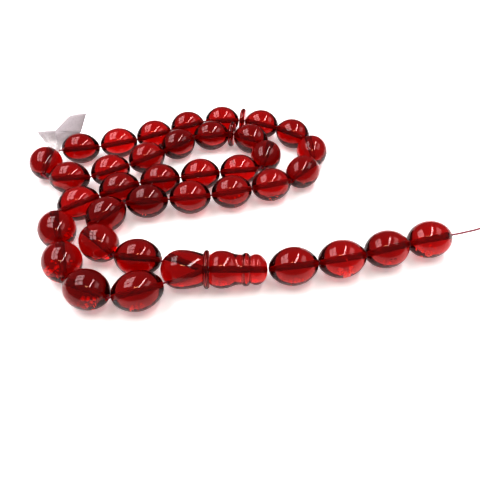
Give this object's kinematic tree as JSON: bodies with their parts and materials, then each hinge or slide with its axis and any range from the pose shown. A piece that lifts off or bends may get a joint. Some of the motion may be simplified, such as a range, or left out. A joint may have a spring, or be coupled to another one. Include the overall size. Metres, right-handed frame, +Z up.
{
  "type": "misbaha prayer beads",
  "caption": "String of olive-shaped translucent red resin prayer beads with divider discs, a turned imame, a short beaded tail and a knotted thread end.",
  "frame": {"origin": "middle of the string's footprint on the table, without the free thread end and its knot", "axes": "+Z up from the table, +X from the loop towards the tail, the loop and tail lying flat"},
  "size_m": [0.2117, 0.1236, 0.0176],
  "materials": {
    "resin": "polished clear cherry-red amber resin",
    "thread": "twisted crimson polyester thread",
    "paper": "matt white paper"
  },
  "bodies": {
    "string": {"loop_thread": "thread", "leader_thread": "thread", "imame_base": "resin", "paper_label": "paper"},
    "bead_01": {"bead_01": "resin"},
    "bead_02": {"bead_02": "resin"},
    "bead_03": {"bead_03": "resin"},
    "bead_04": {"bead_04": "resin"},
    "bead_05": {"bead_05": "resin"},
    "bead_06": {"bead_06": "resin"},
    "bead_07": {"bead_07": "resin"},
    "bead_08": {"bead_08": "resin"},
    "bead_09": {"bead_09": "resin"},
    "bead_10": {"bead_10": "resin"},
    "bead_11": {"bead_11": "resin"},
    "divider_disc_1": {"divider_disc_1": "resin"},
    "bead_12": {"bead_12": "resin"},
    "bead_13": {"bead_13": "resin"},
    "bead_14": {"bead_14": "resin"},
    "bead_15": {"bead_15": "resin"},
    "bead_16": {"bead_16": "resin"},
    "bead_17": {"bead_17": "resin"},
    "bead_18": {"bead_18": "resin"},
    "bead_19": {"bead_19": "resin"},
    "bead_20": {"bead_20": "resin"},
    "bead_21": {"bead_21": "resin"},
    "bead_22": {"bead_22": "resin"},
    "divider_disc_2": {"divider_disc_2": "resin"},
    "bead_23": {"bead_23": "resin"},
    "bead_24": {"bead_24": "resin"},
    "bead_25": {"bead_25": "resin"},
    "bead_26": {"bead_26": "resin"},
    "bead_27": {"bead_27": "resin"},
    "bead_28": {"bead_28": "resin"},
    "bead_29": {"bead_29": "resin"},
    "bead_30": {"bead_30": "resin"},
    "bead_31": {"bead_31": "resin"},
    "bead_32": {"bead_32": "resin"},
    "bead_33": {"bead_33": "resin"},
    "imame_collar": {"imame_collar": "resin"},
    "imame_leader": {"imame_leader": "resin"},
    "tail_link_1": {"tail_thread_1": "thread"},
    "tail_bead_1": {"tail_bead_1": "resin"},
    "tail_link_2": {"tail_thread_2": "thread"},
    "tail_bead_2": {"tail_bead_2": "resin"},
    "tail_link_3": {"tail_thread_3": "thread"},
    "tail_bead_3": {"tail_bead_3": "resin"},
    "tail_link_4": {"tail_thread_4": "thread", "free_thread": "thread", "end_knot": "thread"},
    "tail_bead_4": {"tail_bead_4": "resin"}
  },
  "joints": [
    {"name": "bead_01_spin", "type": "hinge", "parent": "string", "child": "bead_01", "pos_m": [-0.02699, -0.05464, 0.007], "axis": [-0.9459, -0.3243, 0], "continuous": true},
    {"name": "bead_02_spin", "type": "hinge", "parent": "string", "child": "bead_02", "pos_m": [-0.0444, -0.05396, 0.007], "axis": [-0.9149, 0.4036, 0], "continuous": true},
    {"name": "bead_03_spin", "type": "hinge", "parent": "string", "child": "bead_03", "pos_m": [-0.05625, -0.04149, 0.007], "axis": [-0.3571, 0.9341, 0], "continuous": true},
    {"name": "bead_04_spin", "type": "hinge", "parent": "string", "child": "bead_04", "pos_m": [-0.06287, -0.02516, 0.007], "axis": [-0.3939, 0.9191, 0], "continuous": true},
    {"name": "bead_05_spin", "type": "hinge", "parent": "string", "child": "bead_05", "pos_m": [-0.05855, -0.00976, 0.007], "axis": [0.8155, 0.5787, 0], "continuous": true},
    {"name": "bead_06_spin", "type": "hinge", "parent": "string", "child": "bead_06", "pos_m": [-0.0437, -0.00046, 0.007], "axis": [0.8768, 0.4808, 0], "continuous": true},
    {"name": "bead_07_spin", "type": "hinge", "parent": "string", "child": "bead_07", "pos_m": [-0.02714, 0.00556, 0.007], "axis": [0.9806, 0.1961, 0], "continuous": true},
    {"name": "bead_08_spin", "type": "hinge", "parent": "string", "child": "bead_08", "pos_m": [-0.00993, 0.0093, 0.007], "axis": [0.9734, 0.229, 0], "continuous": true},
    {"name": "bead_09_spin", "type": "hinge", "parent": "string", "child": "bead_09", "pos_m": [0.00728, 0.01248, 0.007], "axis": [0.991, 0.1339, 0], "continuous": true},
    {"name": "bead_10_spin", "type": "hinge", "parent": "string", "child": "bead_10", "pos_m": [0.01952, 0.02334, 0.007], "axis": [0.2484, 0.9687, 0], "continuous": true},
    {"name": "bead_11_spin", "type": "hinge", "parent": "string", "child": "bead_11", "pos_m": [0.01289, 0.03789, 0.007], "axis": [-0.8944, 0.4472, 0], "continuous": true},
    {"name": "divider_disc_1_spin", "type": "hinge", "parent": "string", "child": "divider_disc_1", "pos_m": [0.00358, 0.04205, 0.007], "axis": [-0.9864, 0.1644, 0], "continuous": true},
    {"name": "bead_12_spin", "type": "hinge", "parent": "string", "child": "bead_12", "pos_m": [-0.00656, 0.04082, 0.007], "axis": [-0.9856, -0.169, 0], "continuous": true},
    {"name": "bead_13_spin", "type": "hinge", "parent": "string", "child": "bead_13", "pos_m": [-0.02201, 0.03322, 0.007], "axis": [-0.7348, -0.6783, 0], "continuous": true},
    {"name": "bead_14_spin", "type": "hinge", "parent": "string", "child": "bead_14", "pos_m": [-0.03542, 0.02205, 0.007], "axis": [-0.8, -0.6, 0], "continuous": true},
    {"name": "bead_15_spin", "type": "hinge", "parent": "string", "child": "bead_15", "pos_m": [-0.05012, 0.01233, 0.007], "axis": [-0.8648, -0.5021, 0], "continuous": true},
    {"name": "bead_16_spin", "type": "hinge", "parent": "string", "child": "bead_16", "pos_m": [-0.06694, 0.00707, 0.007], "axis": [-0.9967, -0.0808, 0], "continuous": true},
    {"name": "bead_17_spin", "type": "hinge", "parent": "string", "child": "bead_17", "pos_m": [-0.08063, 0.018, 0.007], "axis": [-0.1376, 0.9905, 0], "continuous": true},
    {"name": "bead_18_spin", "type": "hinge", "parent": "string", "child": "bead_18", "pos_m": [-0.06794, 0.0298, 0.007], "axis": [0.9864, 0.1644, 0], "continuous": true},
    {"name": "bead_19_spin", "type": "hinge", "parent": "string", "child": "bead_19", "pos_m": [-0.05067, 0.0343, 0.007], "axis": [0.9398, 0.3417, 0], "continuous": true},
    {"name": "bead_20_spin", "type": "hinge", "parent": "string", "child": "bead_20", "pos_m": [-0.03467, 0.0413, 0.007], "axis": [0.8886, 0.4586, 0], "continuous": true},
    {"name": "bead_21_spin", "type": "hinge", "parent": "string", "child": "bead_21", "pos_m": [-0.01899, 0.04976, 0.007], "axis": [0.8716, 0.4903, 0], "continuous": true},
    {"name": "bead_22_spin", "type": "hinge", "parent": "string", "child": "bead_22", "pos_m": [-0.0016, 0.0548, 0.007], "axis": [0.9985, 0.054, 0], "continuous": true},
    {"name": "divider_disc_2_spin", "type": "hinge", "parent": "string", "child": "divider_disc_2", "pos_m": [0.00908, 0.05505, 0.007], "axis": [0.9864, -0.1644, 0], "continuous": true},
    {"name": "bead_23_spin", "type": "hinge", "parent": "string", "child": "bead_23", "pos_m": [0.01856, 0.05131, 0.007], "axis": [0.9162, -0.4008, 0], "continuous": true},
    {"name": "bead_24_spin", "type": "hinge", "parent": "string", "child": "bead_24", "pos_m": [0.03361, 0.04247, 0.007], "axis": [0.7967, -0.6044, 0], "continuous": true},
    {"name": "bead_25_spin", "type": "hinge", "parent": "string", "child": "bead_25", "pos_m": [0.04133, 0.02746, 0.007], "axis": [0.027, -0.9996, 0], "continuous": true},
    {"name": "bead_26_spin", "type": "hinge", "parent": "string", "child": "bead_26", "pos_m": [0.03551, 0.01148, 0.007], "axis": [-0.6644, -0.7474, 0], "continuous": true},
    {"name": "bead_27_spin", "type": "hinge", "parent": "string", "child": "bead_27", "pos_m": [0.02097, 0.00227, 0.007], "axis": [-0.9594, -0.2822, 0], "continuous": true},
    {"name": "bead_28_spin", "type": "hinge", "parent": "string", "child": "bead_28", "pos_m": [0.00408, -0.00245, 0.007], "axis": [-0.9667, -0.2559, 0], "continuous": true},
    {"name": "bead_29_spin", "type": "hinge", "parent": "string", "child": "bead_29", "pos_m": [-0.01318, -0.00595, 0.007], "axis": [-0.9899, -0.1414, 0], "continuous": true},
    {"name": "bead_30_spin", "type": "hinge", "parent": "string", "child": "bead_30", "pos_m": [-0.03074, -0.00842, 0.007], "axis": [-0.9905, -0.1376, 0], "continuous": true},
    {"name": "bead_31_spin", "type": "hinge", "parent": "string", "child": "bead_31", "pos_m": [-0.04588, -0.01657, 0.007], "axis": [-0.6549, -0.7557, 0], "continuous": true},
    {"name": "bead_32_spin", "type": "hinge", "parent": "string", "child": "bead_32", "pos_m": [-0.04505, -0.0323, 0.007], "axis": [0.7194, -0.6946, 0], "continuous": true},
    {"name": "bead_33_spin", "type": "hinge", "parent": "string", "child": "bead_33", "pos_m": [-0.02927, -0.03972, 0.007], "axis": [0.9939, -0.1104, 0], "continuous": true},
    {"name": "imame_collar_spin", "type": "hinge", "parent": "string", "child": "imame_collar", "pos_m": [-0.00412, -0.0452, 0.007], "axis": [1, 0, 0], "continuous": true},
    {"name": "imame_leader_spin", "type": "hinge", "parent": "string", "child": "imame_leader", "pos_m": [0.00708, -0.0452, 0.007], "axis": [1, 0, 0], "continuous": true},
    {"name": "tail_bend_1", "type": "hinge", "parent": "string", "child": "tail_link_1", "pos_m": [0.01758, -0.0452, 0.007], "axis": [0, 0, 1], "range_deg": [-22, 16]},
    {"name": "tail_bead_1_spin", "type": "hinge", "parent": "tail_link_1", "child": "tail_bead_1", "pos_m": [0.02657, -0.0437, 0.007], "axis": [0.9864, 0.1644, 0], "continuous": true},
    {"name": "tail_bend_2", "type": "hinge", "parent": "tail_link_1", "child": "tail_link_2", "pos_m": [0.03558, -0.0422, 0.007], "axis": [0, 0, 1], "range_deg": [-22, 16]},
    {"name": "tail_bead_2_spin", "type": "hinge", "parent": "tail_link_2", "child": "tail_bead_2", "pos_m": [0.04437, -0.0402, 0.007], "axis": [0.9751, 0.2216, 0], "continuous": true},
    {"name": "tail_bend_3", "type": "hinge", "parent": "tail_link_2", "child": "tail_link_3", "pos_m": [0.05318, -0.0382, 0.007], "axis": [0, 0, 1], "range_deg": [-25, 16]},
    {"name": "tail_bead_3_spin", "type": "hinge", "parent": "tail_link_3", "child": "tail_bead_3", "pos_m": [0.06163, -0.03545, 0.007], "axis": [0.9509, 0.3095, 0], "continuous": true},
    {"name": "tail_bend_4", "type": "hinge", "parent": "tail_link_3", "child": "tail_link_4", "pos_m": [0.07008, -0.0327, 0.007], "axis": [0, 0, 1], "range_deg": [-25, 16]},
    {"name": "tail_bead_4_spin", "type": "hinge", "parent": "tail_link_4", "child": "tail_bead_4", "pos_m": [0.07883, -0.03045, 0.007], "axis": [0.9685, 0.249, 0], "continuous": true}
  ]
}
